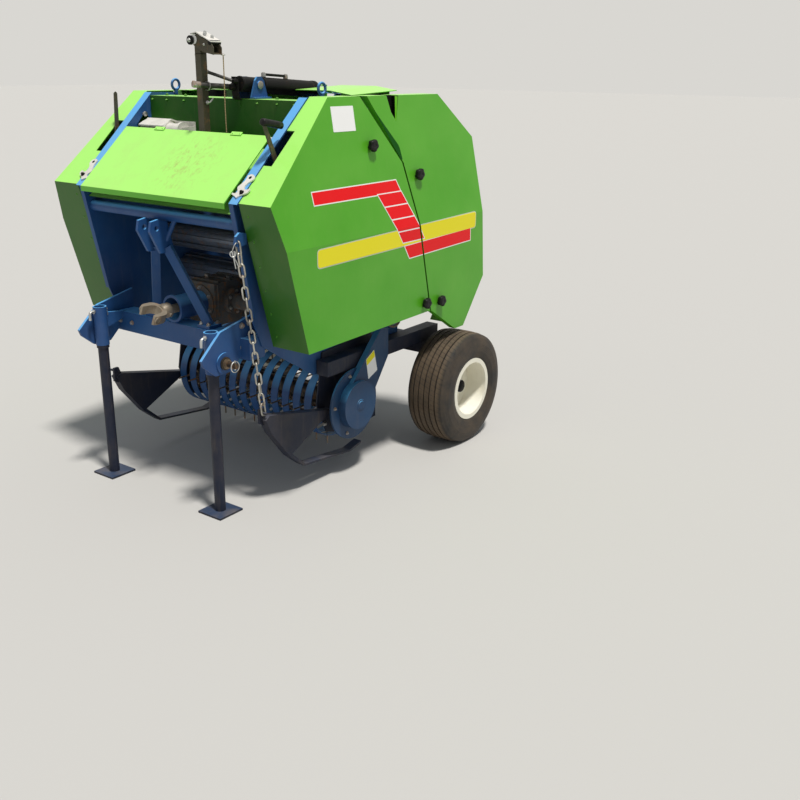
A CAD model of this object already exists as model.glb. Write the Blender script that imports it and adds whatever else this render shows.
import math

import bmesh
import bpy
from mathutils import Matrix, Vector


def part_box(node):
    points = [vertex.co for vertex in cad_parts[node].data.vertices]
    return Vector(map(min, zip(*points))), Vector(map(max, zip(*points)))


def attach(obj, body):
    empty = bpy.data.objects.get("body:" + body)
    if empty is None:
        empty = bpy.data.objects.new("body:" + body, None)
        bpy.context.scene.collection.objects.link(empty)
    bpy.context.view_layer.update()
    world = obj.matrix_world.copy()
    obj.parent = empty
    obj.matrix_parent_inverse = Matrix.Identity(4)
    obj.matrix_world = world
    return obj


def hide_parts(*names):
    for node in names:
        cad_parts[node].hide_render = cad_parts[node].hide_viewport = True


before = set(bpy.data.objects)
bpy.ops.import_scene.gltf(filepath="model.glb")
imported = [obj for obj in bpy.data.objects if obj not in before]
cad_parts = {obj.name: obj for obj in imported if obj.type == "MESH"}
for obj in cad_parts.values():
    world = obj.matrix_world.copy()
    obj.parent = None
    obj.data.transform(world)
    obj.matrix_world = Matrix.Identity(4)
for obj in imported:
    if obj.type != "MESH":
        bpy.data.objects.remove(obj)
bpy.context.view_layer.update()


# Camera. It stands about 3 m off the baler's front left corner, a little above its
# top, and is framed off centre so that the baler fills the upper left. Its rows are
# the picture's right, up and back directions.
def placed(name, data):
    """A new object of that data in the scene."""
    made = bpy.data.objects.new(name, data)
    bpy.context.scene.collection.objects.link(made)
    return made


camera_at = Vector((3.0199, 2.8258, 1.6377))
camera_right = Vector((-0.5876, 0.8091, 0.0101))
camera_up = Vector((-0.2616, -0.2018, 0.9438))
camera_back = Vector((0.7657, 0.5520, 0.3303))
focal_pixels = 958.07
frame_pixels = 800
sensor_w = 36.0
camera_data = bpy.data.cameras.new("camera")
camera_data.sensor_width = sensor_w
camera_data.lens = focal_pixels / frame_pixels * sensor_w
camera_data.shift_x = 0.0046
camera_data.clip_start = 0.05
camera = placed("camera", camera_data)
camera.matrix_world = Matrix((
    (camera_right.x, camera_up.x, camera_back.x, camera_at.x),
    (camera_right.y, camera_up.y, camera_back.y, camera_at.y),
    (camera_right.z, camera_up.z, camera_back.z, camera_at.z),
    (0, 0, 0, 1)))
bpy.context.scene.camera = camera
bpy.context.scene.view_settings.view_transform = "Standard"

# Floor and light. A pale studio floor, a broad lamp high over the baler's left
# side and an even sky, so that the lid shines, the side is mid bright and the
# faces that look ahead stay dark, as under a high sun.
floor_size = 60.0
floor_mesh = bpy.data.meshes.new("floor")
floor_mesh.from_pydata(
    [(x * floor_size, y * floor_size, 0) for x, y in ((-1, -1), (1, -1), (1, 1), (-1, 1))],
    [], [(0, 1, 2, 3)])
floor = placed("floor", floor_mesh)
floor_paint = bpy.data.materials.new("pale floor")
floor_paint.use_nodes = True
floor_shader = floor_paint.node_tree.nodes["Principled BSDF"]
floor_shader.inputs["Base Color"].default_value = (0.54, 0.53, 0.51, 1)
floor_shader.inputs["Roughness"].default_value = 0.9
floor_mesh.materials.append(floor_paint)

lamp_strength = 3.35
lamp_width_deg = 7
lamp_from = Vector((0.10, 0.34, 1.0))
sun_data = bpy.data.lights.new("high lamp", "SUN")
sun_data.energy = lamp_strength
sun_data.angle = math.radians(lamp_width_deg)
sun_data.color = (1.0, 0.97, 0.92)
sun = placed("high lamp", sun_data)
sun.rotation_euler = lamp_from.to_track_quat("Z", "Y").to_euler()

sky = bpy.data.worlds.new("studio")
bpy.context.scene.world = sky
sky.use_nodes = True
sky_nodes = sky.node_tree.nodes
sky_links = sky.node_tree.links
sky_back = sky_nodes["Background"]
sky_back.inputs["Color"].default_value = (0.86, 0.93, 1.0, 1)
sky_back.inputs["Strength"].default_value = 0.32
seen_back = sky_nodes.new("ShaderNodeBackground")
seen_back.inputs["Color"].default_value = (0.694, 0.680, 0.645, 1)
seen_back.inputs["Strength"].default_value = 1.0
sky_path = sky_nodes.new("ShaderNodeLightPath")
sky_mix = sky_nodes.new("ShaderNodeMixShader")
seen = sky_path.outputs["Is Camera Ray"]
for ray in ("Is Glossy Ray", "Is Transmission Ray"):
    either = sky_nodes.new("ShaderNodeMath")
    either.operation = "MAXIMUM"
    sky_links.new(seen, either.inputs[0])
    sky_links.new(sky_path.outputs[ray], either.inputs[1])
    seen = either.outputs["Value"]
sky_links.new(seen, sky_mix.inputs["Fac"])
sky_links.new(sky_back.outputs["Background"], sky_mix.inputs[1])
sky_links.new(seen_back.outputs["Background"], sky_mix.inputs[2])
sky_links.new(sky_mix.outputs["Shader"], sky_nodes["World Output"].inputs["Surface"])


# Sheet-metal covers. Pressed steel panels on posts, sprayed in a bright green
# gloss. The paint has faded a little where the sun falls on it, carries field
# dust on its upper faces and is rubbed through at its folded edges.
def effect(name, inputs, outputs):
    """A shader node group with those sockets, and its input and output nodes."""
    group = bpy.data.node_groups.new(name, "ShaderNodeTree")
    for socket, value in inputs:
        kind = "NodeSocketColor" if isinstance(value, tuple) else "NodeSocketFloat"
        made = group.interface.new_socket(socket, in_out="INPUT", socket_type=kind)
        made.default_value = value
    for socket in outputs:
        kind = "NodeSocketColor" if socket == "Color" else "NodeSocketFloat"
        group.interface.new_socket(socket, in_out="OUTPUT", socket_type=kind)
    return group, group.nodes.new("NodeGroupInput"), group.nodes.new("NodeGroupOutput")


def own_place(tree):
    """The object's own coordinates."""
    return tree.nodes.new("ShaderNodeTexCoord").outputs["Object"]


def noise(group, place, scale, detail=4.0, rough=0.55, stretch=None):
    """Noise of that scale over the object's own coordinates, stretched if asked."""
    node = group.nodes.new("ShaderNodeTexNoise")
    node.inputs["Scale"].default_value = scale
    node.inputs["Detail"].default_value = detail
    node.inputs["Roughness"].default_value = rough
    if stretch:
        mapping = group.nodes.new("ShaderNodeMapping")
        mapping.inputs["Scale"].default_value = stretch
        group.links.new(place, mapping.inputs["Vector"])
        place = mapping.outputs["Vector"]
    group.links.new(place, node.inputs["Vector"])
    return node.outputs["Fac"]


def window(group, value, low, high):
    """Value stretched so that low becomes 0 and high becomes 1."""
    node = group.nodes.new("ShaderNodeMapRange")
    node.clamp = True
    node.inputs["From Min"].default_value = low
    node.inputs["From Max"].default_value = high
    group.links.new(value, node.inputs["Value"])
    return node.outputs["Result"]


def patches(group, place, low, high, *grain):
    """Patches where noise of that grain passes from low to high."""
    return window(group, noise(group, place, *grain), low, high)


def reckon(group, operation, a, b=0.0):
    """A math node on two values or sockets."""
    node = group.nodes.new("ShaderNodeMath")
    node.operation = operation
    for value, socket in ((a, node.inputs[0]), (b, node.inputs[1])):
        if isinstance(value, (int, float)):
            socket.default_value = value
        else:
            group.links.new(value, socket)
    return node.outputs["Value"]


def times(group, a, b):
    """The product of two values or sockets."""
    return reckon(group, "MULTIPLY", a, b)


def plus(group, a, b):
    """The sum of two values or sockets."""
    return reckon(group, "ADD", a, b)


def blended(group, factor, a, b):
    """Colour a, or b where factor is 1. Colours are sockets or rows of four."""
    node = group.nodes.new("ShaderNodeMix")
    node.data_type = "RGBA"
    group.links.new(factor, node.inputs["Factor"])
    sockets = [s for s in node.inputs if s.type == "RGBA"]
    for value, socket in ((a, sockets[0]), (b, sockets[1])):
        if isinstance(value, tuple):
            socket.default_value = value
        else:
            group.links.new(value, socket)
    return [s for s in node.outputs if s.type == "RGBA"][0]


soot_green = (0.004, 0.016, 0.002, 1)
field_wear, wear_in, wear_out = effect("field wear", [
    ("Paint", (0.1, 0.4, 0.05, 1)),
    ("Faded", (0.2, 0.6, 0.1, 1)),
    ("Bare", (0.14, 0.07, 0.03, 1)),
    ("Dust", (0.45, 0.34, 0.2, 1)),
    ("Dust Amount", 0.4),
    ("Chips", 0.3),
    ("Gloss", 0.35),
    ("Front Soot", 0.0)], ["Color", "Roughness", "Height"])
wear_place = field_wear.nodes.new("ShaderNodeTexCoord")
wear_split = field_wear.nodes.new("ShaderNodeSeparateXYZ")
field_wear.links.new(wear_place.outputs["Normal"], wear_split.inputs["Vector"])
place = wear_place.outputs["Object"]
upward = window(field_wear, wear_split.outputs["Z"], 0.25, 0.72)
fade = times(field_wear, patches(field_wear, place, 0.3, 0.75, 3.0), 0.12)
fade = reckon(field_wear, "MAXIMUM", fade, upward)
colour = blended(field_wear, fade, wear_in.outputs["Paint"], wear_in.outputs["Faded"])
ahead = window(field_wear, wear_split.outputs["X"], 0.7, 0.95)
ahead = times(field_wear, ahead, wear_in.outputs["Front Soot"])
colour = blended(field_wear, ahead, colour, soot_green)
dust_cloud = patches(field_wear, place, 0.45, 0.8, 7.0, 6.0, 0.62)
dust_cloud = times(field_wear, dust_cloud, plus(field_wear, times(field_wear, upward, 0.7), 0.25))
streaks = patches(field_wear, place, 0.55, 0.85, 9.0, 5.0, 0.6, (6.0, 6.0, 0.7))
dust = plus(field_wear, dust_cloud, times(field_wear, streaks, 0.3))
dust = times(field_wear, dust, wear_in.outputs["Dust Amount"])
colour = blended(field_wear, dust, colour, wear_in.outputs["Dust"])
chip_spots = patches(field_wear, place, 0.70, 0.74, 85.0, 3.0, 0.7)
chip_zone = patches(field_wear, place, 0.5, 0.7, 5.0, 2.0)
chips = times(field_wear, times(field_wear, chip_spots, chip_zone), wear_in.outputs["Chips"])
colour = blended(field_wear, chips, colour, wear_in.outputs["Bare"])
field_wear.links.new(colour, wear_out.inputs["Color"])
grain = noise(field_wear, place, 420.0, 2.0)
rough = plus(field_wear, wear_in.outputs["Gloss"], times(field_wear, dust, 0.5))
rough = plus(field_wear, rough, times(field_wear, grain, 0.08))
field_wear.links.new(rough, wear_out.inputs["Roughness"])
height = reckon(field_wear, "SUBTRACT", times(field_wear, grain, 0.25), chips)
field_wear.links.new(height, wear_out.inputs["Height"])


def dressed(name, wear, values, bump_strength, relief, shine=0.5):
    """A material whose colour, roughness, metal and relief come from a wear group."""
    made = bpy.data.materials.new(name)
    made.use_nodes = True
    nodes, links = made.node_tree.nodes, made.node_tree.links
    shader = nodes["Principled BSDF"]
    group = nodes.new("ShaderNodeGroup")
    group.node_tree = wear
    for socket, value in values.items():
        group.inputs[socket].default_value = value
    for output, socket in (("Color", "Base Color"), ("Roughness", "Roughness"), ("Metal", "Metallic")):
        if output in group.outputs:
            links.new(group.outputs[output], shader.inputs[socket])
    bump = nodes.new("ShaderNodeBump")
    bump.inputs["Strength"].default_value = bump_strength
    bump.inputs["Distance"].default_value = relief
    links.new(group.outputs["Height"], bump.inputs["Height"])
    links.new(bump.outputs["Normal"], shader.inputs["Normal"])
    shader.inputs["Specular IOR Level"].default_value = shine
    return made


def painted(name, paint, faded, dust_amount, chips, gloss, bare=(0.14, 0.07, 0.03, 1), coat=0.0, shine=0.5,
        soot=0.0):
    """Sprayed paint on steel, with the field's wear on it and soot on what faces ahead."""
    made = dressed(name, field_wear, {"Paint": paint, "Faded": faded, "Bare": bare,
        "Dust Amount": dust_amount, "Chips": chips, "Gloss": gloss, "Front Soot": soot}, 0.25, 0.0006, shine)
    shader = made.node_tree.nodes["Principled BSDF"]
    shader.inputs["Coat Weight"].default_value = coat
    shader.inputs["Coat Roughness"].default_value = 0.12
    return made


def finish_nodes(material, *names):
    """Gives CAD nodes that material in every slot."""
    for name in names:
        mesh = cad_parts[name].data
        mesh.materials.clear()
        mesh.materials.append(material)


cover_green = painted("cover green", (0.066, 0.34, 0.008, 1), (0.40, 0.88, 0.16, 1), 0.12, 0.3, 0.32,
    coat=0.12, shine=0.3, soot=0.65)
finish_nodes(cover_green, "front_cover_left", "front_cover_right", "tail_cover_left", "tail_cover_right")

# Twine box. Folded green sheet, its rear wall screwed to the side plates, with a
# lid that turns on two riveted tabs and is rubbed where the twine is loaded.
box_green = painted("box green", (0.010, 0.11, 0.004, 1), (0.30, 0.66, 0.14, 1), 0.2, 0.4, 0.4,
    shine=0.15, soot=0.35)
finish_nodes(box_green, "twine_box")
lid_green = painted("lid green", (0.10, 0.45, 0.015, 1), (0.42, 0.90, 0.17, 1), 0.18, 0.5, 0.30,
    bare=(0.30, 0.20, 0.10, 1), coat=0.15, shine=0.35)
finish_nodes(lid_green, "twine_lid", "tail_roof")
rubbed_at = (0.545, 0.095, 1.290)
rubbed_tone = (0.40, 0.38, 0.10, 1)
lid_tree = lid_green.node_tree
lid_place = own_place(lid_tree)
from_rubbed = lid_tree.nodes.new("ShaderNodeVectorMath")
from_rubbed.operation = "DISTANCE"
lid_tree.links.new(lid_place, from_rubbed.inputs[0])
from_rubbed.inputs[1].default_value = rubbed_at
rubbed = times(lid_tree, patches(lid_tree, lid_place, 0.50, 0.72, 34.0, 9.0, 0.75, (1.0, 1.4, 1.0)),
    window(lid_tree, from_rubbed.outputs["Value"], 0.19, 0.05))
lid_wear = next(node for node in lid_tree.nodes if node.type == "GROUP")
lid_colour = blended(lid_tree, times(lid_tree, rubbed, 0.8), lid_wear.outputs["Color"], rubbed_tone)
lid_tree.links.new(lid_colour, lid_tree.nodes["Principled BSDF"].inputs["Base Color"])

gauge_x = 103


def spot(x, y, z):
    """A point of the frame from millimetres, x counted from gauge_x ahead of its middle."""
    return Vector(((x + gauge_x) / 1000, y / 1000, z / 1000))


def corners(node):
    """A CAD node's lowest and highest corners in the same millimetres."""
    return [Vector((x * 1000 - gauge_x, y * 1000, z * 1000)) for x, y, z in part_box(node)]


def middle_of(node):
    """The middle of a CAD node's box in the same millimetres."""
    low, high = corners(node)
    return (low + high) / 2


def around(count, start=0.0):
    """The angles of count places evenly round a circle."""
    return [2 * math.pi * k / count + start for k in range(count)]


def loft(solid, *rings, closed=False):
    """Adds a solid over rings of points, one to one, the last joined to the first if closed."""
    rings = [[solid.verts.new(p) for p in ring] for ring in rings]
    pairs = list(zip(rings, rings[1:])) + ([(rings[-1], rings[0])] if closed else [])
    for low, high in pairs:
        for k in range(len(low)):
            j = (k + 1) % len(low)
            solid.faces.new((low[k], low[j], high[j], high[k]))
    if not closed:
        solid.faces.new(rings[0])
        solid.faces.new(rings[-1])


stem_r = 8


def turned(solid, at, axis, profile, segments, lobes=0, depth=0.0, spin=0.0):
    """Adds a solid of revolution. Profile rows are (radius, distance along axis) in mm.
    Lobes of that depth wave what is wider than a stem."""
    axis = Vector(axis).normalized()
    side = axis.orthogonal().normalized()
    other = axis.cross(side)
    rings = []
    for radius, along in profile:
        middle = Vector(at) + axis * (along / 1000)
        ring = []
        for angle in around(segments, spin):
            r = (radius + depth * math.cos(lobes * angle) * (radius > stem_r)) / 1000
            ring.append(middle + side * (r * math.cos(angle)) + other * (r * math.sin(angle)))
        rings.append(ring)
    loft(solid, *rings)


def bolt(solid, at, axis, size):
    """Adds a hexagon head on a washer, size across the thread in mm."""
    turned(solid, at, axis, [(size * 1.05, -0.6), (size * 1.1, 0), (size * 1.1, 1.4), (size, 1.7)], 20)
    turned(solid, at, axis, [(size * 0.9, 1.2), (size * 0.9, 1.5 + size * 0.55),
        (size * 0.76, 1.5 + size * 0.66)], 6, spin=0.4)
    turned(solid, at, axis, [(size * 0.5, 1.5), (size * 0.5, 1.5 + size * 0.95),
        (size * 0.4, 1.5 + size * 1.05)], 12)


def piece(name, solid, material, body, sharp=35.0):
    """Ends a solid as a piece of that material that rides on that body."""
    bmesh.ops.recalc_face_normals(solid, faces=solid.faces)
    for face in solid.faces:
        face.smooth = True
    for edge in solid.edges:
        if len(edge.link_faces) == 2 and edge.calc_face_angle(0.0) > math.radians(sharp):
            edge.smooth = False
    mesh = bpy.data.meshes.new(name)
    solid.to_mesh(mesh)
    solid.free()
    mesh.materials.append(material)
    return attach(placed(name, mesh), body)


rear_wall_x = 186.2
rear_flange_z = corners("twine_box")[1].z + 0.3
box_trim = bmesh.new()
for y in (-385, -300, -200, 200, 300, 385):
    bolt(box_trim, spot(rear_wall_x, y, 1494), (1, 0, 0), 5)
for y in (-360, -250, 250, 360):
    bolt(box_trim, spot(130, y, rear_flange_z), (0, 0, 1), 6)
piece("box_screws", box_trim, box_green, "frame")

lid_run = Vector((0.755, 0, -0.656))
lid_up = Vector((0.656, 0, 0.755))


def on_lid(down, y, lift):
    """A place on the lid, down mm below its hinge tabs and lift mm over it."""
    at = Vector((322, y, 1395.7)) + lid_run * down + lid_up * lift
    return spot(*at)


tab_half, tab_thick = 27, 3
lid_tabs, lid_rivets = bmesh.new(), bmesh.new()
for y in (-190, 226):
    loft(lid_tabs, *[[on_lid(down, y + aside, lift)
        for down, aside in ((-4, -tab_half), (-4, tab_half), (12, tab_half), (12, -tab_half))]
        for lift in (0.4, 0.4 + tab_thick)])
    for aside in (-18, 18):
        turned(lid_rivets, spot(327.5, y + aside, 1394.8), lid_up,
            [(4, -0.5), (4, 0.6), (2.6, 1.9), (0.8, 2.3)], 14)
piece("lid_hinge_tabs", lid_tabs, lid_green, "lid")
piece("lid_rivets", lid_rivets, lid_green, "lid")

# Frame paint. The welded frame, side plates, hitch and guards are brushed over
# in blue enamel, chalky where the sun reaches and chipped to rust at work edges.
frame_blue = painted("frame blue", (0.012, 0.060, 0.20, 1), (0.12, 0.42, 0.82, 1), 0.22, 0.9, 0.42,
    shine=0.35)
finish_nodes(frame_blue, "side_plate_left", "side_plate_right", "hitch_frame", "hitch_mast", "shaft_guard",
    "tail_plate_left", "tail_plate_right", "tail_cross_members", "stripper_bands", "cylinder_bracket")
beam_navy = painted("beam navy", (0.006, 0.010, 0.026, 1), (0.03, 0.05, 0.10, 1), 0.35, 0.8, 0.5, shine=0.35)
finish_nodes(beam_navy, "axle_beam", "pickup_sides", "pickup_skids", "parking_leg_left", "parking_leg_right")

# Stripes. Vinyl bands laid over both covers of each side: a red bar at the top
# that turns into a run of four slanted cells, a yellow band along the crease and
# a second red bar behind, each with a thin pale outline. They end at the seam.
cover_corner = corners("front_cover_left")[1]
face_out = cover_corner.y
crease_z = 1027
face_lean = 93 / (cover_corner.z - crease_z)
seam_corner = (-232, 1274)
seam_slant = 150 / 620


def face_y(z):
    """How far out the covers' face is at height z."""
    return face_out - face_lean * max(0, z - crease_z)


def seam_x(z):
    """Where the front cover ends at height z, below the seam's corner."""
    return seam_corner[0] - (seam_corner[1] - z) * seam_slant


def clipped(outline, keep):
    """The part of an outline where keep(x, z) is positive."""
    left = []
    for k, point in enumerate(outline):
        before = outline[k - 1]
        a, b = keep(*before), keep(*point)
        if (a > 0) != (b > 0):
            t = a / (a - b)
            left.append((before[0] + (point[0] - before[0]) * t, before[1] + (point[1] - before[1]) * t))
        if b > 0:
            left.append(point)
    return left


def rounded(outline, radius):
    """An outline with its corners rounded."""
    made = []
    for k, point in enumerate(outline):
        p = Vector(point)
        a = (Vector(outline[k - 1]) - p).normalized() * radius
        b = (Vector(outline[(k + 1) % len(outline)]) - p).normalized() * radius
        for j in range(5):
            t = j / 4
            made.append(tuple(p + a * (1 - t) ** 2 + b * t ** 2))
    return made


def grown(outline, by):
    """A convex outline with every edge moved out."""
    middle = sum((Vector(p) for p in outline), Vector((0, 0))) / len(outline)
    lines = []
    for k, point in enumerate(outline):
        p, q = Vector(point), Vector(outline[(k + 1) % len(outline)])
        normal = Vector(((q - p).y, -(q - p).x)).normalized()
        if normal.dot(p - middle) < 0:
            normal = -normal
        lines.append((p + normal * by, (q - p).normalized()))
    made = []
    for k, (p, u) in enumerate(lines):
        q, v = lines[k - 1]
        t = ((q - p).x * v.y - (q - p).y * v.x) / (u.x * v.y - u.y * v.x)
        made.append(tuple(p + u * t))
    return made


def on_cover(solid, outline, side, low, high):
    """Adds a sheet over the face of a side's covers, from low to high proud of it."""
    loft(solid, *[[spot(x, side * (face_y(z) + proud), z) for x, z in outline] for proud in (low, high)])


def laid(name, outlines, lift, material):
    """Lays outlines on both sides' covers as thin sheets that stand lift proud."""
    covers = (("frame", lambda x, z: x - seam_x(z) - 1), ("tailgate", lambda x, z: seam_x(z) - 10 - x))
    halves = (lambda x, z: z - crease_z, lambda x, z: crease_z + 0.001 - z)
    for body, cover in covers:
        solid = bmesh.new()
        for part in (clipped(clipped(outline, cover), half) for outline in outlines for half in halves):
            if len(part) < 3:
                continue
            for side in (1, -1):
                on_cover(solid, part, side, -0.3, lift)
        if solid.verts:
            piece(f"{name}_{body}", solid, material, body)
        else:
            solid.free()


stripe_red = painted("stripe red", (0.82, 0.004, 0.008, 1), (0.84, 0.02, 0.02, 1), 0.04, 0.0, 0.34, shine=0.2)
stripe_yellow = painted("stripe yellow", (0.84, 0.75, 0.015, 1), (0.86, 0.78, 0.06, 1), 0.05, 0.0, 0.34,
    shine=0.2)
outline_white = painted("outline white", (0.82, 0.83, 0.80, 1), (0.88, 0.88, 0.86, 1), 0.12, 0.0, 0.35)
outline_grey = painted("outline grey", (0.50, 0.55, 0.42, 1), (0.60, 0.64, 0.52, 1), 0.15, 0.0, 0.40)

top_bar = [(328, 1210), (-173, 1212), (-196, 1168), (324, 1167)]
low_bar = [(-193, 953), (-686, 965), (-688, 914), (-226, 902)]
yellow_band = [(340, 948), (-727, 966), (-727, 1032), (340, 1012)]
cell_top = 1167
cell_rows = ((1167, 1121), (1116, 1069), (1064, 1018), (1013, 970))
cells = [[(-47 - (cell_top - z) * 0.672, z) for z in (high, low)]
    + [(-198 - (cell_top - z) * 0.652, z) for z in (low, high)] for high, low in cell_rows]
backing = [(-40, 1171), (-178, 966), (-334, 966), (-200, 1171)]
outline_width = 4
laid("stripe_yellow_edge", [rounded(grown(yellow_band, outline_width), 17)], 0.25, outline_grey)
laid("stripe_red_edge", [grown(bar, outline_width) for bar in (top_bar, low_bar)], 0.35, outline_white)
laid("stripe_red_bar", [top_bar, low_bar], 0.5, stripe_red)
laid("stripe_yellow_band", [rounded(yellow_band, 14)], 0.7, stripe_yellow)
laid("stripe_cell_backing", [backing], 0.85, outline_white)
laid("stripe_cell", cells, 1.05, stripe_red)


# Blank plates. A pale plate on the left front cover and a two-coloured sticker
# on the pickup's drive guard, both left empty.
def plate(solid, outline, y0, y1):
    """Adds a flat plate, its outline in the side view, from y0 to y1."""
    loft(solid, *[[spot(x, y, z) for x, z in outline] for y in (y0, y1)])


guard_face_y = 505.8
plate_white = painted("plate white", (0.88, 0.88, 0.87, 1), (0.90, 0.90, 0.88, 1), 0.15, 0.0, 0.35)
blank = bmesh.new()
on_cover(blank, rounded([(158, 1494), (29, 1494), (31, 1406), (160, 1406)], 3), 1, -0.3, 0.9)
piece("blank_plate", blank, plate_white, "frame")
sticker = bmesh.new()
plate(sticker, rounded([(-84, 486), (-138, 517), (-161, 424), (-100, 398)], 3), guard_face_y - 0.2,
    guard_face_y + 0.7)
piece("guard_sticker", sticker, plate_white, "frame")
sticker_top = bmesh.new()
plate(sticker_top, rounded([(-85, 485), (-137, 515), (-144, 487), (-90, 459)], 3), guard_face_y,
    guard_face_y + 1.1)
piece("guard_sticker_top", sticker_top, stripe_yellow, "frame")

# Rollers and chains. Ribbed steel tubes that the crop keeps half bright, and oiled
# roller chains. Each roller turns in a flanged bearing with two bolts and a grease
# nipple, on both side plates.
rust_light = (0.36, 0.17, 0.06, 1)
steel_wear, steel_in, steel_out = effect("steel wear", [
    ("Clean", (0.5, 0.5, 0.5, 1)),
    ("Grime", (0.05, 0.042, 0.03, 1)),
    ("Rust", (0.20, 0.085, 0.03, 1)),
    ("Grime Amount", 0.5),
    ("Rust Amount", 0.3),
    ("Base Roughness", 0.4),
    ("Base Metal", 1.0)], ["Color", "Roughness", "Metal", "Height"])
steel_place = own_place(steel_wear)
rust_share = steel_in.outputs["Rust Amount"]
grime = patches(steel_wear, steel_place, 0.4, 0.72, 14.0, 6.0, 0.65)
grime = times(steel_wear, grime, steel_in.outputs["Grime Amount"])
colour = blended(steel_wear, grime, steel_in.outputs["Clean"], steel_in.outputs["Grime"])
rust = plus(steel_wear, noise(steel_wear, steel_place, 38.0, 5.0, 0.7), times(steel_wear, rust_share, 0.35))
rust = window(steel_wear, rust, 0.62, 0.76)
rust = times(steel_wear, rust, reckon(steel_wear, "MINIMUM", times(steel_wear, rust_share, 2.0), 1.0))
rust_tone = blended(steel_wear, noise(steel_wear, steel_place, 120.0), steel_in.outputs["Rust"], rust_light)
colour = blended(steel_wear, rust, colour, rust_tone)
steel_wear.links.new(colour, steel_out.inputs["Color"])
rough = plus(steel_wear, steel_in.outputs["Base Roughness"], times(steel_wear, grime, 0.25))
rough = plus(steel_wear, rough, times(steel_wear, rust, 0.35))
steel_wear.links.new(rough, steel_out.inputs["Roughness"])
dulled = reckon(steel_wear, "MAXIMUM", rust, times(steel_wear, grime, 0.6))
metal = times(steel_wear, steel_in.outputs["Base Metal"], reckon(steel_wear, "SUBTRACT", 1.0, dulled))
steel_wear.links.new(metal, steel_out.inputs["Metal"])
pits = times(steel_wear, noise(steel_wear, steel_place, 350.0, 3.0), 0.3)
steel_wear.links.new(plus(steel_wear, times(steel_wear, rust, 0.7), pits), steel_out.inputs["Height"])


def steel(name, clean, grime_amount, rust_amount, rough, metal=1.0, grime=(0.05, 0.042, 0.03, 1),
        relief=0.0005, shine=0.5):
    """Worn steel of that clean colour."""
    return dressed(name, steel_wear, {"Clean": clean, "Grime": grime, "Grime Amount": grime_amount,
        "Rust Amount": rust_amount, "Base Roughness": rough, "Base Metal": metal}, 0.35, relief, shine)


roller_steel = steel("roller steel", (0.20, 0.24, 0.30, 1), 0.6, 0.25, 0.36, metal=0.85)
chain_oil = steel("oiled chain", (0.22, 0.19, 0.16, 1), 0.8, 0.35, 0.38, grime=(0.03, 0.024, 0.018, 1))
bolt_steel = steel("bolt steel", (0.42, 0.42, 0.41, 1), 0.5, 0.35, 0.42)
zinc = steel("zinc", (0.62, 0.63, 0.62, 1), 0.45, 0.10, 0.38)

roller_count = 13
first_turn_deg, turn_step_deg = -33, 24.5
front_rollers = (0, 1, 2, 3, 12)
ring_x, ring_z, ring_r = -300, 1005, 402
bearing_r, bearing_y = 30, 421.6
finish_nodes(roller_steel, *[f"roller_{k + 1:02d}" for k in range(roller_count)])
finish_nodes(chain_oil, "front_chain", "tail_chain", "pickup_reel")
nipples = {"frame": bmesh.new(), "tailgate": bmesh.new()}
housings = {"frame": bmesh.new(), "tailgate": bmesh.new()}
for k in range(roller_count):
    angle = math.radians(first_turn_deg + turn_step_deg * k)
    x, z = ring_x + ring_r * math.cos(angle), ring_z + ring_r * math.sin(angle)
    body = "frame" if k in front_rollers else "tailgate"
    for side in (1, -1):
        for turn in (angle + 0.9, angle + 0.9 + math.pi):
            at = spot(x + bearing_r * math.cos(turn), side * bearing_y, z + bearing_r * math.sin(turn))
            bolt(housings[body], at, (0, side, 0), 7)
        turn = angle + 2.4
        at = spot(x + bearing_r * math.cos(turn), side * (bearing_y - 0.1), z + bearing_r * math.sin(turn))
        turned(nipples[body], at, (0, side, 0), [(4, 0), (4, 3), (2.2, 4), (3.0, 7), (1.6, 9)], 8)
for body in ("frame", "tailgate"):
    piece(f"bearing_bolts_{body}", housings[body], bolt_steel, body)
    piece(f"grease_nipples_{body}", nipples[body], zinc, body)

# Knobs. The lobed nuts that hold the covers on their posts are moulded in black
# plastic, greyed and scuffed, with a fine grain.
plastic_wear, plastic_in, plastic_out = effect("plastic wear", [
    ("Fresh", (0.02, 0.02, 0.02, 1)),
    ("Grey", (0.09, 0.085, 0.08, 1))], ["Color", "Roughness", "Height"])
plastic_place = own_place(plastic_wear)
scuff = patches(plastic_wear, plastic_place, 0.45, 0.75, 60.0, 6.0, 0.65)
colour = blended(plastic_wear, scuff, plastic_in.outputs["Fresh"], plastic_in.outputs["Grey"])
plastic_wear.links.new(colour, plastic_out.inputs["Color"])
rough = plus(plastic_wear, 0.38, times(plastic_wear, scuff, 0.3))
plastic_wear.links.new(rough, plastic_out.inputs["Roughness"])
plastic_wear.links.new(noise(plastic_wear, plastic_place, 900.0, 2.0), plastic_out.inputs["Height"])


def plastic(name, fresh, grey, relief=0.0002, shine=0.5):
    """Moulded plastic or rubber of that colour."""
    return dressed(name, plastic_wear, {"Fresh": fresh, "Grey": grey}, 0.3, relief, shine)


black_plastic = plastic("black plastic", (0.006, 0.006, 0.006, 1), (0.026, 0.025, 0.024, 1), shine=0.2)
finish_nodes(black_plastic, "front_knobs", "tail_knobs")
knob_lobes, lobe_depth = 5, 1.9
knob_profile = [(12, 5), (19.5, 6.5), (22, 10), (22, 21), (20, 26), (14, 28), (7, 27.2), (6, 25.5)]
for name, body, places in (("front_knob_lobes", "frame", [(-42, 1350), (-337, 696)]),
        ("tail_knob_lobes", "tailgate", [(-320, 1224), (-449, 686)])):
    solid = bmesh.new()
    for x, z in places:
        for side in (1, -1):
            turned(solid, spot(x, side * face_y(z), z), (0, side, 0), knob_profile, 60, knob_lobes,
                lobe_depth)
    piece(name, solid, black_plastic, body, 50)

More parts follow.
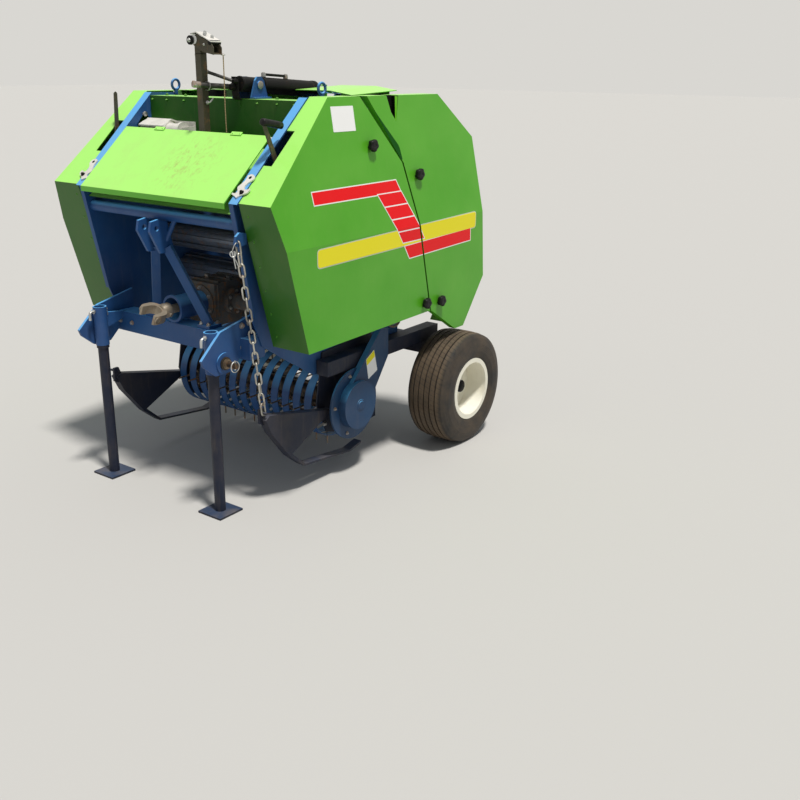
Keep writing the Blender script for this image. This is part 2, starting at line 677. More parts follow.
# Levers. A flat bar stands up through each sloped face, the left one with a
# moulded grip across its end and the right one bare and upright.
dark_olive = steel("dark olive", (0.060, 0.052, 0.030, 1), 0.6, 0.25, 0.55, metal=0.1)
lever_foot = Vector((326, 1208))
bar_in, bar_out = 456, 462
levers = bmesh.new()
for side, top in ((1, Vector((427, 1443))), (-1, Vector((312, 1519)))):
    run = (top - lever_foot).normalized()
    across = Vector((run.y, -run.x))
    shoulder = lever_foot + run * 60
    heel = lever_foot - run * 12
    outline = [heel - across * 15, heel + across * 15, shoulder + across * 11, top + across * 7,
        top + run * 6, top - across * 7, shoulder - across * 11]
    plate(levers, outline, side * bar_in, side * bar_out)
    turned(levers, spot(lever_foot.x, side * 406.4, lever_foot.y), (0, side, 0), [(13, 0), (13, 50)], 24)
    bolt(levers, spot(lever_foot.x, side * bar_out, lever_foot.y), (0, side, 0), 12)
levers = piece("levers", levers, dark_olive, "frame")
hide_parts("tension_levers")
grips = bmesh.new()
turned(grips, spot(336.5, (bar_in + bar_out) / 2, 1432.8), (98, 0, 16),
    [(9, 0), (12.6, 3), (13.0, 30), (12.6, 62), (13.6, 92), (12.6, 99), (8, 101)], 28)
piece("lever_grip", grips, black_plastic, "frame", 60)

# Wheels. Pressed steel rims with a deep dished disc, sprayed off-white, five
# nuts on the disc, a dust cap on the hub and a rubber valve.
rim_cream = painted("rim cream", (0.86, 0.83, 0.70, 1), (0.90, 0.88, 0.78, 1), 0.6, 0.5, 0.42,
    bare=(0.18, 0.09, 0.04, 1))
black_steel = steel("black steel", (0.008, 0.008, 0.008, 1), 0.5, 0.06, 0.45, metal=0.0,
    grime=(0.014, 0.012, 0.010, 1), shine=0.12)
hose_rubber = plastic("hose rubber", (0.018, 0.017, 0.016, 1), (0.075, 0.066, 0.055, 1), 0.0004)
finish_nodes(rim_cream, "wheel_left", "wheel_right")
axle = middle_of("wheel_left")
rim_y = 598
hub_y = corners("axle_beam")[1].y
nut_count, nut_r = 5, 68
valve_r, valve_turn = 112, 0.63
valve_x, valve_z = math.cos(valve_turn), math.sin(valve_turn)
for hand, body, side in (("left", "wheel_l", 1), ("right", "wheel_r", -1)):
    nuts = bmesh.new()
    for angle in around(nut_count):
        at = spot(axle.x + nut_r * math.cos(angle), side * (rim_y - 22.5), axle.z + nut_r * math.sin(angle))
        bolt(nuts, at, (0, side, 0), 12)
    piece(f"wheel_{hand}_nuts", nuts, bolt_steel, body)
    valve = bmesh.new()
    turned(valve, spot(axle.x + valve_r * valve_x, side * (rim_y - 12), axle.z + valve_r * valve_z),
        (0.25 * valve_x, side, 0.25 * valve_z),
        [(8, -8), (7, 3), (4.5, 8), (4, 30), (5, 31), (5, 40), (3.5, 41.5)], 16)
    piece(f"wheel_{hand}_valve", valve, hose_rubber, body)
    cap = bmesh.new()
    turned(cap, spot(axle.x, side * hub_y, axle.z), (0, side, 0),
        [(26, -2), (26.5, 0), (26, 3), (20, 7), (10, 9.2), (2, 9.8)], 32)
    piece(f"hub_cap_{hand}", cap, black_steel, "frame")

# Tyres. Ribbed implement tyres with five grooves round the tread, fine rings on
# the sidewalls and dry soil on the ribs and up the sides.
tyre_wear, tyre_in, tyre_out = effect("tyre wear", [
    ("Rubber", (0.012, 0.011, 0.010, 1)),
    ("Soil", (0.21, 0.145, 0.085, 1))], ["Color", "Roughness", "Height"])
tyre_place = own_place(tyre_wear)
tyre_split = tyre_wear.nodes.new("ShaderNodeSeparateXYZ")
tyre_wear.links.new(tyre_place, tyre_split.inputs["Vector"])
axle_spot = spot(*axle)
from_axle = reckon(tyre_wear, "SUBTRACT", tyre_split.outputs["X"], axle_spot.x)
above_axle = reckon(tyre_wear, "SUBTRACT", tyre_split.outputs["Z"], axle_spot.z)
square = plus(tyre_wear, times(tyre_wear, from_axle, from_axle), times(tyre_wear, above_axle, above_axle))
radius = reckon(tyre_wear, "SQRT", square)
on_wall = times(tyre_wear, window(tyre_wear, radius, 0.150, 0.156), window(tyre_wear, radius, 0.225, 0.215))
rings = window(tyre_wear, reckon(tyre_wear, "SINE", times(tyre_wear, radius, 900.0)), 0.35, 0.9)
rings = times(tyre_wear, rings, on_wall)
round_tyre = times(tyre_wear, reckon(tyre_wear, "ARCTAN2", above_axle, from_axle), 72.0)
slant = plus(tyre_wear, round_tyre, times(tyre_wear, tyre_split.outputs["Y"], 90.0))
cuts = window(tyre_wear, reckon(tyre_wear, "SINE", slant), 0.90, 0.97)
cuts = times(tyre_wear, cuts, window(tyre_wear, radius, 0.244, 0.246))
rib_top = window(tyre_wear, radius, 0.2480, 0.2505)
rib_soil = reckon(tyre_wear, "SUBTRACT", rib_top, times(tyre_wear, cuts, 0.6))
soil = times(tyre_wear, patches(tyre_wear, tyre_place, 0.36, 0.74, 11.0, 7.0, 0.66), 0.30)
soil = reckon(tyre_wear, "MINIMUM", plus(tyre_wear, soil, times(tyre_wear, rib_soil, 0.34)), 1.0)
colour = blended(tyre_wear, soil, tyre_in.outputs["Rubber"], tyre_in.outputs["Soil"])
tyre_wear.links.new(colour, tyre_out.inputs["Color"])
tyre_wear.links.new(plus(tyre_wear, 0.62, times(tyre_wear, soil, 0.3)), tyre_out.inputs["Roughness"])
height = reckon(tyre_wear, "SUBTRACT", times(tyre_wear, rings, 0.5), cuts)
height = plus(tyre_wear, height, times(tyre_wear, noise(tyre_wear, tyre_place, 500.0, 3.0), 0.15))
tyre_wear.links.new(height, tyre_out.inputs["Height"])
tyre_rubber = dressed("tyre rubber", tyre_wear, {}, 0.8, 0.0016)
finish_nodes(tyre_rubber, "tyre_left", "tyre_right")

# Hitch. Welded arms with clamped pins, the mast's ears and the sockets that hold
# the parking legs, each leg kept up by a bent pin with a spring clip.
arm_y, beam_top, beam_front = 353.5, 690.5, 480.5
hitch_bolts = bmesh.new()
for side in (1, -1):
    for x, z in ((432, 725), (432, 650), (470, 722), (470, 640)):
        bolt(hitch_bolts, spot(x, side * arm_y, z), (0, side, 0), 11)
    for y in (130, 170):
        for x in (417, 463):
            bolt(hitch_bolts, spot(x, side * y, beam_top), (0, 0, 1), 9)
for y in (-330, -260, 260, 330):
    bolt(hitch_bolts, spot(beam_front, y, 636), (1, 0, 0), 9)
piece("hitch_bolts", hitch_bolts, bolt_steel, "frame")


def swept(solid, points, radius, segments, closed=False):
    """Adds a round bar along points, radius in mm."""
    points = [Vector(p) for p in points]
    count = len(points)
    normal = None
    rings = []
    for k, point in enumerate(points):
        if closed:
            along = points[(k + 1) % count] - points[k - 1]
        else:
            along = points[min(k + 1, count - 1)] - points[max(k - 1, 0)]
        along.normalize()
        normal = along.orthogonal() if normal is None else normal - along * normal.dot(along)
        normal.normalize()
        other = along.cross(normal)
        rings.append([point + (normal * math.cos(a) + other * math.sin(a)) * (radius / 1000)
            for a in around(segments)])
    loft(solid, *rings, closed=closed)


socket = middle_of("parking_leg_left")
leg_pin_z = 700
leg_pins = bmesh.new()
for side in (1, -1):
    y = side * socket.y
    swept(leg_pins, [spot(socket.x + out, y, leg_pin_z - drop)
        for out, drop in ((-34, 0), (40, 0), (46, 3), (48, 10), (48, 32))], 6, 12)
    turned(leg_pins, spot(socket.x + 29, y, leg_pin_z), (1, 0, 0), [(9, -2), (9, 2)], 16)
    ring = [spot(socket.x - 30 + 3 * math.sin(t), y + side * 9 * math.cos(t),
        leg_pin_z - 13 + 13 * math.sin(t)) for t in around(20)]
    swept(leg_pins, ring, 1.6, 8, closed=True)
piece("leg_pins", leg_pins, zinc, "frame")

link_x, link_z = 566, 600
pin_clip_y, pin_clip_r = 408, 20
oily_steel = steel("oily steel", (0.045, 0.036, 0.026, 1), 0.6, 0.30, 0.38, metal=0.5)
worn_brown = steel("worn brown steel", (0.24, 0.18, 0.12, 1), 0.5, 0.30, 0.34, metal=0.7)
link_sleeves, link_washers, hitch_trim = bmesh.new(), bmesh.new(), bmesh.new()
for side in (1, -1):
    turned(link_sleeves, spot(link_x, side * (arm_y + 0.1), link_z), (0, side, 0), [(22, 0), (24.4, 1),
        (24.4, 10), (22, 11), (16, 11.4), (14, 14), (11.4, 14.2), (11.4, 63.6), (9, 65.4)], 32)
    for y, r in ((365, 19), (371, 17), (398, 14.5)):
        turned(link_washers, spot(link_x, side * y, link_z), (0, side, 0),
            [(r - 2, 0), (r, 0.6), (r, 4.4), (r - 2, 5)], 28)
    clip = [spot(link_x + pin_clip_r * math.cos(t), side * pin_clip_y, link_z - 4 + pin_clip_r * math.sin(t))
        for t in around(28)]
    swept(hitch_trim, clip, 2.2, 8, closed=True)
    swept(hitch_trim, [spot(link_x, side * pin_clip_y, link_z + rise) for rise in (20, -16)], 3, 8)
piece("link_sleeves", link_sleeves, oily_steel, "frame")
piece("link_washers", link_washers, worn_brown, "frame")
piece("hitch_trim", hitch_trim, zinc, "frame")

# Height chain. Welded round-wire links from the blue lug down to the skid's peg,
# twisted so that every other link shows its face, and a spare clip at the lug.
link_steel = steel("link steel", (0.60, 0.58, 0.52, 1), 0.85, 0.22, 0.30, grime=(0.035, 0.030, 0.022, 1))
finish_nodes(link_steel, "height_chain")
link_count, link_wire = 16, 3.6
bend_r, overlap = 0.0098, 0.0038
chain_top, chain_foot = spot(555, 438, 1052), spot(458, 438, 388)
chain_way = (chain_foot - chain_top).normalized()
chain_side = Vector((0, 1, 0))
chain_other = chain_way.cross(chain_side)
pitch = (chain_foot - chain_top).length / link_count
straight = pitch / 2 + overlap - bend_r
height_links = bmesh.new()
for k in range(link_count):
    twist = math.radians(90 * (k % 2) - 47 * min(1, k / 3, (link_count - 1 - k) / 3))
    across = chain_side * math.cos(twist) + chain_other * math.sin(twist)
    middle = chain_top + chain_way * (pitch * (k + 0.5))
    link = [middle + chain_way * (end * (straight + bend_r * math.cos(t)))
        + across * (end * bend_r * math.sin(t)) for end in (1, -1)
        for t in (math.pi * (j / 6 - 0.5) for j in range(7))]
    swept(height_links, link, link_wire, 8, closed=True)
height_links = piece("height_links", height_links, link_steel, "frame", 60)
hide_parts("height_chain")
spare_clip = bmesh.new()
clip_ring = [spot(582 + 8 * math.sin(t), 440 - 6 * math.sin(t), 1015 + 11 * math.cos(t))
    for t in around(14)[1:]]
swept(spare_clip, [spot(571, 440, 962), spot(579, 440, 1000)] + clip_ring + [spot(576, 441, 998),
    spot(572, 442, 990), spot(566, 442, 982), spot(563, 442, 972)], 2.2, 8)
swept(spare_clip, [spot(563, 443.5, 1050), spot(570, 445, 1052), spot(577, 443, 1044), spot(582, 440, 1030),
    spot(583, 440, 1026)], 1.8, 8)
piece("spare_clip", spare_clip, zinc, "frame", 60)

# Cylinder. Black barrel with a gland nut and port unions, blue ears with a headed
# pin, and a pin through the rod's eye on the tailgate.
rod_chrome = steel("rod chrome", (0.80, 0.80, 0.80, 1), 0.15, 0.0, 0.14, relief=0.0001)
finish_nodes(rod_chrome, "cylinder_rod")
finish_nodes(black_steel, "cylinder_barrel")
cylinder_y = 110
barrel_at, rod_at = Vector((118, cylinder_y, 1560)), Vector((-442, cylinder_y, 1529))
barrel_way = (rod_at - barrel_at).normalized()
barrel_up = Vector((barrel_way.z, 0, -barrel_way.x))


def along_barrel(d, up=0.0):
    """A place d mm along the cylinder from its pin and up mm over its middle."""
    return spot(*(barrel_at + barrel_way * d + barrel_up * up))


barrel_rings = bmesh.new()
for d, profile, segments, spin in (
        (350, [(30, -6), (32.5, -4), (32.5, 12), (30, 14)], 40, 0.0),
        (364, [(26, -2), (27, 0), (27, 4), (17, 7)], 12, 0.2),
        (48, [(30, -3), (32.6, -1), (32.6, 4), (30.5, 7)], 40, 0.0),
        (-70, [(20, -1.2), (27.5, 1), (29.2, 4), (29.2, 9), (27.5, 12)], 40, 0.0)):
    turned(barrel_rings, along_barrel(d), barrel_way, profile, segments, spin=spin)
piece("barrel_rings", barrel_rings, black_steel, "barrel")
unions = bmesh.new()
for d in (64, 190):
    turned(unions, along_barrel(d, 40), barrel_up, [(10.4, -8), (10.4, 4), (9.0, 6), (7, 9)], 6)
piece("barrel_unions", unions, bolt_steel, "barrel")
pins = bmesh.new()
for side in (1, -1):
    turned(pins, spot(barrel_at.x, cylinder_y + side * 46, barrel_at.z), (0, side, 0),
        [(15, -2), (15, 1), (13.5, 2), (6, 2.4)], 28)
piece("cylinder_pin", pins, bolt_steel, "frame")
rod_pin = bmesh.new()
turned(rod_pin, spot(rod_at.x, cylinder_y - 32, rod_at.z), (0, 1, 0),
    [(14, 0), (15, 1), (15, 5), (8, 6), (8, 58), (13, 59), (13, 63), (11, 64)], 28)
piece("rod_pin", rod_pin, bolt_steel, "tailgate")

# Hoses. Two rubber hoses leave a small steel block on a tab that is welded to the
# twine box's rear wall, and end on the pole and in a screw coupling beside it.
tab = [(185.5, 1480), (185.5, 1506), (190, 1512), (193, 1508), (188.5, 1502), (188.5, 1480)]
block = [(187, 1507.5), (196, 1516), (200, 1534), (200, 1590), (204, 1590), (204, 1530), (199, 1512),
    (190, 1504.5)]
hose_tab = bmesh.new()
plate(hose_tab, tab, 92, 116)
piece("hose_tab", hose_tab, box_green, "frame")
hose_block = bmesh.new()
plate(hose_block, block, 88, 122)
for y, z, r in ((116, 1574, 10), (98, 1552, 15)):
    turned(hose_block, spot(203, y, z), (1, 0, 0),
        [(r, 0), (r, 9), (r - 1.5, 11), (r - 3, 18), (r - 4, 20)], 6)
piece("hose_block", hose_block, black_steel, "frame")


def cord_curve(name, node, places, radius, roundness, material):
    """A round cord through places in mm, as a curve that stands in for that node."""
    curve = bpy.data.curves.new(name, "CURVE")
    curve.dimensions = "3D"
    curve.bevel_depth = radius / 1000
    curve.bevel_resolution = roundness
    curve.use_fill_caps = True
    line = curve.splines.new("POLY")
    line.points.add(len(places) - 1)
    for point, place in zip(line.points, places):
        point.co = (*spot(*place), 1)
    curve.materials.append(material)
    made = placed(name, curve)
    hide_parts(node)
    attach(made, "frame")
    return made


def hose(name, node, points, radius):
    """A rubber hose along a smooth curve that four points set, as a declared cord."""
    a, b, c, d = (Vector(p) for p in points)
    smooth = [a * (1 - t) ** 3 + b * 3 * t * (1 - t) ** 2 + c * 3 * t * t * (1 - t) + d * t ** 3
        for t in (k / 23 for k in range(24))]
    made = cord_curve(name, node, smooth, radius, 6, hose_rubber)


hose("thin_hose", "hose_thin", [(222, 110, 1576), (238, 94, 1583), (254, 50, 1598), (270, 26, 1606)], 6)
coupling = bmesh.new()
coupling_way = (38, -12, 4)
turned(coupling, spot(322, 43.6, 1560.2), coupling_way,
    [(11.5, 0), (12, 1), (12, 16), (10, 18), (10, 24), (8, 26)], 20)
turned(coupling, spot(341, 38, 1562.2), coupling_way, [(13, 0), (13, 9), (11, 11)], 6)
coupling = piece("hose_coupling", coupling, bolt_steel, "frame")
hose("thick_hose", "hose_thick", [(216, 87, 1554), (250, 76, 1555), (290, 54, 1557), (331, 41, 1561)], 10)
hose_ends = bmesh.new()
swept(hose_ends, [spot(x, y, z) for x, y, z in ((290, 38, 1570), (290, 52, 1571), (291, 64, 1566),
    (292, 66, 1556), (292, 62, 1545), (291, 50, 1541), (290, 38, 1542))], 2.0, 8)
turned(hose_ends, spot(274.5, 25.5, 1606), (-1, 0, 0), [(11, 0), (11, 4), (8.5, 5), (8.5, 11)], 6)
piece("hose_fittings", hose_ends, bolt_steel, "frame")


# Twine tensioner. Two cheeks on a square pole carry a spool ahead and a roller
# behind, under sprung plates that clamp the two strands of sisal.
def cheek_plate(solid, outline, x0, x1):
    """Adds a flat plate, its outline in the front view, from x0 to x1."""
    loft(solid, *[[spot(x, y, z) for y, z in outline] for x in (x0, x1)])


pale_zinc = steel("pale zinc", (0.80, 0.77, 0.72, 1), 0.25, 0.06, 0.55, metal=0.15)
finish_nodes(dark_olive, "twine_pole")
finish_nodes(pale_zinc, "twine_guide")
strand_x, near_y, far_y = 262, 110, -31
eye_z, floor_eye_z = 1665.5, 1293.5
cheek = [(12, 1722), (16, 1733), (30, 1737), (102, 1704), (112, 1690), (111, 1665), (62, 1674), (24, 1688),
    (8, 1700)]
cradle_floor = [(24, 1689), (62, 1675), (110, 1666), (110, 1669), (62, 1678), (24, 1692)]
spool_ear = [(-14, 1710), (14, 1722), (14, 1704), (-10, 1704)]
head = bmesh.new()
for x in (268, 308):
    cheek_plate(head, cheek, x, x + 4)
cheek_plate(head, cradle_floor, 270, 310)
pole_low, pole_high = corners("twine_pole")
pole_square = [(pole_low.x, pole_low.y), (pole_high.x, pole_low.y), (pole_high.x, pole_high.y),
    (pole_low.x, pole_high.y)]
loft(head, *[[spot(x, y, pole_high.z + rise) for x, y in pole_square] for rise in (-2, 24)])
for x in (284, 296):
    cheek_plate(head, spool_ear, x, x + 4)
swept(head, [spot(269, 14, 1695), spot(265, -4, 1682), spot(strand_x, -24, 1668),
    spot(strand_x, far_y, eye_z)], 2.6, 8)
swept(head, [spot(270, 98, 1672), spot(265, 106, 1667), spot(strand_x, near_y, eye_z)], 2.6, 8)
head = piece("tensioner_cradle", head, dark_olive, "frame")
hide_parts("tensioner_head")
spools = bmesh.new()
turned(spools, spot(276, -1, 1716), (1, 0, 0), [(14, 0), (16.5, 2), (16.5, 6), (9, 9), (9, 34), (16.5, 37),
    (16.5, 44), (13, 46)], 28)
turned(spools, spot(262, 95, 1707), (1, 0, 0), [(6, 0), (9, 1), (9, 51), (6, 53)], 24)
piece("tensioner_spools", spools, black_steel, "frame")
coil_r, coil_turns, coil_steps = 5.4, 4, 12
tension = bmesh.new()
for x, y, z in ((284, 44, 1735), (302, 60, 1728), (282, 78, 1720)):
    turned(tension, spot(x, y, z), (0, 0, 1), [(2.6, 0), (2.6, 13), (2, 15)], 12)
    turned(tension, spot(x, y, z + 9), (0, 0, 1), [(6.5, 0), (6.5, 3.4), (5.5, 4.4)], 6)
    coil = []
    for k in range(coil_turns * coil_steps + 1):
        t = 2 * math.pi * k / coil_steps
        rise = 1 + 8 * k / (coil_turns * coil_steps)
        coil.append(spot(x + coil_r * math.cos(t), y + coil_r * math.sin(t), z + rise))
    swept(tension, coil, 1.1, 6)
bolt(tension, spot(321.6, -1, 1716), (1, 0, 0), 7)
turned(tension, spot(311.5, 13, 1718), (1, 0, 0), [(15, 0), (17, 0.6), (17, 3), (15, 3.6)], 28)
bolt(tension, spot(311.8, 66, 1701), (1, 0, 0), 4)
piece("tensioner_bolts", tension, zinc, "frame")
clamps = bmesh.new()
cheek_plate(clamps, [(-2, 1736), (-2, 1739), (28, 1745), (104, 1712), (104, 1708.6), (28, 1741.6)], 260, 316)
piece("clamp_plates", clamps, pale_zinc, "frame")
pole_trim = bmesh.new()
bolt(pole_trim, spot(284, 37.2, 1496), (0, 1, 0), 7)
swept(pole_trim, [spot(284, 44, 1496), spot(280, 49, 1499), spot(270, 50, 1507), spot(266, 50, 1513)], 3, 8)
piece("pole_bolts", pole_trim, zinc, "frame")

sisal_dark, sisal_pale = (0.20, 0.13, 0.06, 1), (0.48, 0.36, 0.19, 1)
sisal = bpy.data.materials.new("sisal twine")
sisal.use_nodes = True
sisal_tree = sisal.node_tree
sisal_shader = sisal_tree.nodes["Principled BSDF"]
sisal_place = own_place(sisal_tree)
sisal_twist = sisal_tree.nodes.new("ShaderNodeTexWave")
sisal_twist.bands_direction = "DIAGONAL"
sisal_twist.inputs["Scale"].default_value = 110.0
sisal_twist.inputs["Distortion"].default_value = 3.0
sisal_tree.links.new(sisal_place, sisal_twist.inputs["Vector"])
sisal_colour = blended(sisal_tree, sisal_twist.outputs["Fac"], sisal_dark, sisal_pale)
sisal_tree.links.new(sisal_colour, sisal_shader.inputs["Base Color"])
sisal_shader.inputs["Roughness"].default_value = 0.9
sisal_bump = sisal_tree.nodes.new("ShaderNodeBump")
sisal_bump.inputs["Distance"].default_value = 0.0008
sisal_tree.links.new(sisal_twist.outputs["Fac"], sisal_bump.inputs["Height"])
sisal_tree.links.new(sisal_bump.outputs["Normal"], sisal_shader.inputs["Normal"])
strand_top, strand_drop, strand_points = 1669.6, 377.4, 24
eyelets = bmesh.new()
for hand, y in (("near", near_y), ("far", far_y)):
    places = [(strand_x + 1.2 * math.sin(math.pi * t), y + 0.6 * math.sin(9 * t),
        strand_top - strand_drop * t) for t in (k / (strand_points - 1) for k in range(strand_points))]
    strand = cord_curve(f"{hand}_strand", f"twine_strand_{hand}", places, 2, 3, sisal)
    for z in (eye_z, floor_eye_z):
        eye = [spot(strand_x + 6 * math.cos(t), y + 6 * math.sin(t), z) for t in around(24)]
        swept(eyelets, eye, 2.0, 8, closed=True)
piece("twine_eyelets", eyelets, zinc, "frame")

# Latches. Plasma-cut steel hooks on the sloped flanges that hold the lid down,
# pale zinc with a hand hole and a bolt, on the rod of the lid's hinge.
slope = Vector((0.7407, 0, -0.6719))
slope_up = Vector((0.6719, 0, 0.7407))
hook_gap, hook_thick = 0.6, 5.0
hook = [(375, 423), (377, 434), (383, 444), (392, 447), (400, 445), (413, 434), (426, 428), (436, 429),
    (443, 435), (445, 444), (443, 451), (436, 455), (444, 462), (457, 458), (464, 447), (472, 433),
    (484, 423), (477, 411), (474, 403), (470, 391), (461, 387), (465, 397), (465, 405), (459, 411),
    (450, 408), (443, 401), (435, 399), (424, 405), (407, 413), (393, 413), (382, 411)]


def on_flange(t, y, lift):
    """A place on a sloped flange, t mm down from its top corner and lift mm over it."""
    return spot(*(Vector((177, y, 1522)) + slope * t + slope_up * lift))


latches, latch_trim = bmesh.new(), bmesh.new()
for side in (1, -1):
    loft(latches, *[[on_flange(t, side * y, lift) for t, y in hook]
        for lift in (hook_gap, hook_gap + hook_thick)])
    bolt(latch_trim, on_flange(459, side * 434, 5.4), slope_up, 8)
    turned(latch_trim, on_flange(391, side * 428, 5.5), slope_up, [(6.5, 0), (6.5, 0.25)], 16)
turned(latches, spot(316, -399, 1382), (0, 1, 0), [(7, 0), (7, 798)], 20)
latches = piece("latches", latches, pale_zinc, "frame")
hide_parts("lid_latches")
piece("latch_bolts", latch_trim, black_steel, "frame")

# Gearbox. A cast housing with ribs, a filler plug, a breather and bolted caps on
# the input and on both ends of the cross shaft.
cast_grey = steel("cast grey", (0.12, 0.12, 0.115, 1), 0.7, 0.35, 0.6, metal=0.2)
finish_nodes(cast_grey, "gearbox")
shaft_z = 735
box_x = 240
box_low, box_high = corners("gearbox")
box_top, box_side = box_high.z - 0.5, -box_low.y - 0.5
gearbox_trim, gearbox_bolts = bmesh.new(), bmesh.new()
turned(gearbox_trim, spot(334.5, 0, shaft_z), (1, 0, 0), [(70, 0), (70, 7), (64, 10), (49, 10)], 36)
turned(gearbox_trim, spot(box_x, -box_side, shaft_z), (0, -1, 0), [(56, 0), (56, 10), (50, 14), (20, 14),
    (18, 12)], 36)
for angle in around(6, math.pi / 6):
    across, up = math.cos(angle), math.sin(angle)
    bolt(gearbox_bolts, spot(344, 58 * across, shaft_z + 58 * up), (1, 0, 0), 7)
    bolt(gearbox_bolts, spot(box_x + 42 * across, 100.5, shaft_z + 42 * up), (0, 1, 0), 7)
    bolt(gearbox_bolts, spot(box_x + 38 * across, -88, shaft_z + 38 * up), (0, -1, 0), 7)


def rib(x, low, high, y0, y1):
    """Adds an upright rib 8 mm wide to the housing."""
    plate(gearbox_trim, [(x - 4, low), (x + 4, low), (x + 4, high), (x - 4, high)], y0, y1)


for x in (box_x - 65, box_x, box_x + 65):
    rib(x, box_top, 822, -70, 70)
for side in (1, -1):
    for x in (box_x - 77, box_x + 77):
        rib(x, 660, 810, side * box_side, side * 82)
turned(gearbox_bolts, spot(208, 30, box_top), (0, 0, 1), [(14, 0), (14, 8), (12, 9)], 6)
turned(gearbox_bolts, spot(272, -30, box_top), (0, 0, 1), [(9, 0), (9, 10), (12, 12), (12, 18), (8, 22)], 18)
piece("gearbox_ribs", gearbox_trim, cast_grey, "frame")
piece("gearbox_bolts", gearbox_bolts, bolt_steel, "frame")

# Input yoke. A forged fork on the splined shaft, its ears turned a little out of
# level, each bored for a bearing cup.
yoke_steel = steel("yoke steel", (0.40, 0.34, 0.26, 1), 0.45, 0.25, 0.45, metal=0.6)
finish_nodes(yoke_steel, "input_shaft")
fork_half = [(538, -20), (552, -38), (566, -45), (600, -46), (613, -42), (617, -36), (613, -31), (596, -29),
    (574, -27), (560, -18)]
fork = fork_half + [(555, 0)] + [(x, -out) for x, out in reversed(fork_half)]
ear_turn = 0.42
ear_way = Vector((0, math.cos(ear_turn), -math.sin(ear_turn)))
ear_side = Vector((0, math.sin(ear_turn), math.cos(ear_turn)))


def on_yoke(x, out, aside):
    """A place on the fork: x along the shaft, out towards an ear, aside across it."""
    return spot(*(Vector((x, 0, shaft_z)) + ear_way * out + ear_side * aside))


yoke = bmesh.new()
loft(yoke, *[[on_yoke(x, out, aside) for x, out in fork] for aside in (-19, 19)])
turned(yoke, spot(271, 0, shaft_z), (1, 0, 0), [(17.5, 0), (17.5, 232), (26, 234), (29, 238), (29, 262),
    (24, 270), (24, 278)], 32)
for side in (1, -1):
    turned(yoke, on_yoke(597, side * 44, 0), ear_way * side,
        [(16, 0), (16, 3.5), (12.5, 4.5), (12.5, 2)], 24)
turned(yoke, on_yoke(524, 26, 0), ear_way, [(8, 0), (8, 9), (6.5, 10)], 6)
yoke = piece("input_yoke", yoke, yoke_steel, "input")
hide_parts("input_shaft")

# Pickup. Each tine is wound twice round its bar, the drive's round guard has a
# pressed centre and screws, and the skids are bolted to the pickup's sides.
guard_blue = painted("guard blue", (0.005, 0.025, 0.080, 1), (0.07, 0.27, 0.50, 1), 0.22, 0.9, 0.42,
    shine=0.35)
finish_nodes(guard_blue, "pickup_drive_guard")
reel = middle_of("pickup_reel")
bar_count, bar_r = 4, 0.095
tine_count, tine_span = 12, 740
tine_coil_r, coil_start, coil_pitch = 0.0132, 0.0045, 0.0005
tine_coils = bmesh.new()
for turn in around(bar_count):
    out = Vector((math.sin(turn), 0, math.cos(turn)))
    side_way = out.cross(Vector((0, 1, 0)))
    for k in range(tine_count):
        y = (k - (tine_count - 1) / 2) * tine_span / tine_count
        middle = spot(reel.x, y, reel.z) + out * bar_r
        coil = []
        for j in range(25):
            t = 2 * math.pi * j / 12
            coil.append(middle + (out * math.cos(t) + side_way * math.sin(t)) * tine_coil_r
                + Vector((0, coil_start + coil_pitch * j, 0)))
        swept(tine_coils, coil, 3.2, 6)
piece("tine_coils", tine_coils, chain_oil, "reel")
guard_centre = bmesh.new()
turned(guard_centre, spot(reel.x, 522.8, reel.z), (0, 1, 0), [(26, 0), (25, 1.6), (19, 2.2), (17, 4.4),
    (6, 4.8)], 32)
piece("guard_centre", guard_centre, guard_blue, "frame")
screw_r = 127
guard_screws = bmesh.new()
for angle in around(5, 2.6):
    at = spot(reel.x + screw_r * math.cos(angle), 487.8, reel.z + screw_r * math.sin(angle))
    bolt(guard_screws, at, (0, 1, 0), 7)
for side in (1, -1):
    for x, z in ((-215, 250), (-215, 420), (75, 230)):
        bolt(guard_screws, spot(x, side * 411.8, z), (0, side, 0), 9)
piece("pickup_bolts", guard_screws, bolt_steel, "frame")

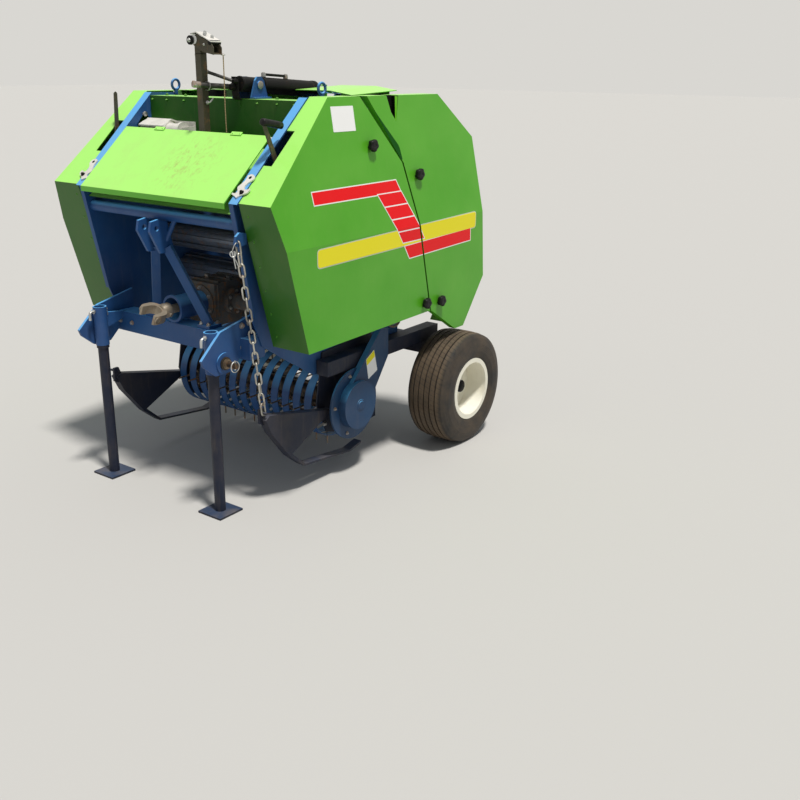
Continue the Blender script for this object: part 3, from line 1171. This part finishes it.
# Cover folds. The tail cover's front edge turns in along the seam, its notch has
# a turned lip, and a dark web closes the gap behind the notch.
fold_green = painted("fold green", (0.004, 0.075, 0.004, 1), (0.004, 0.075, 0.004, 1), 0.05, 0.1, 0.5,
    shine=0.1)
lip_green = painted("lip green", (0.13, 0.50, 0.015, 1), (0.13, 0.50, 0.015, 1), 0.1, 0.2, 0.4, shine=0.3)
fold = [(-97, 1477), (-145, 1424), (-221, 1343), (-228, 1330), (-237, 1286), (-227, 1286), (-187, 1343),
    (-133, 1424)]
lip = [(-268, 1525, 1), (-266, 1525, 17), (-229, 1436, 4), (-229.5, 1431, 1)]
lip_thick = 2.5
web = [(-205, 1525), (-330, 1525), (-330, 1410), (-262, 1410)]
seam_folds, notch_lips, tail_webs = bmesh.new(), bmesh.new(), bmesh.new()
for side in (1, -1):
    on_cover(seam_folds, fold, side, -0.4, 0.5)
    loft(notch_lips, *[[spot(x - back, side * (face_y(z) - inward), z) for x, z, inward in lip]
        for back in (0, lip_thick)])
    plate(tail_webs, web, side * 488, side * 491)
piece("seam_folds", seam_folds, fold_green, "tailgate")
piece("notch_lips", notch_lips, lip_green, "tailgate")
piece("tail_webs", tail_webs, black_steel, "tailgate")

# Cover fixings. Painted rivets down each cover's front face, a nut on each
# tailgate hinge, and posts' bolts that show inside the box.
rivet_count, rivet_pitch, rivet_y = 6, 94, 470
face_top = Vector((545, 0, 1183))
face_down = Vector((-147, 0, -542)).normalized()
face_ahead = (0.965, 0, -0.262)
cover_rivets, hinge_nuts = bmesh.new(), bmesh.new()
for side in (1, -1):
    for k in range(rivet_count):
        at = face_top + face_down * (45 + rivet_pitch * k)
        turned(cover_rivets, spot(at.x, side * rivet_y, at.z), face_ahead,
            [(4.5, -0.5), (4.5, 0.8), (2.8, 2.2), (0.8, 2.6)], 14)
    turned(hinge_nuts, spot(100, side * 425.8, 1430), (0, side, 0),
        [(26, 0), (26, 2), (24, 2), (24, 9), (20, 11)], 6)
    for x, z in ((159, 1476), (228, 1439)):
        turned(hinge_nuts, spot(x, side * 400.2, z), (0, -side, 0),
            [(5, 0), (5, 9), (9, 10), (10.5, 13), (9, 17), (4, 19)], 18)
piece("cover_rivets", cover_rivets, cover_green, "frame")
piece("hinge_nuts", hinge_nuts, bolt_steel, "frame")
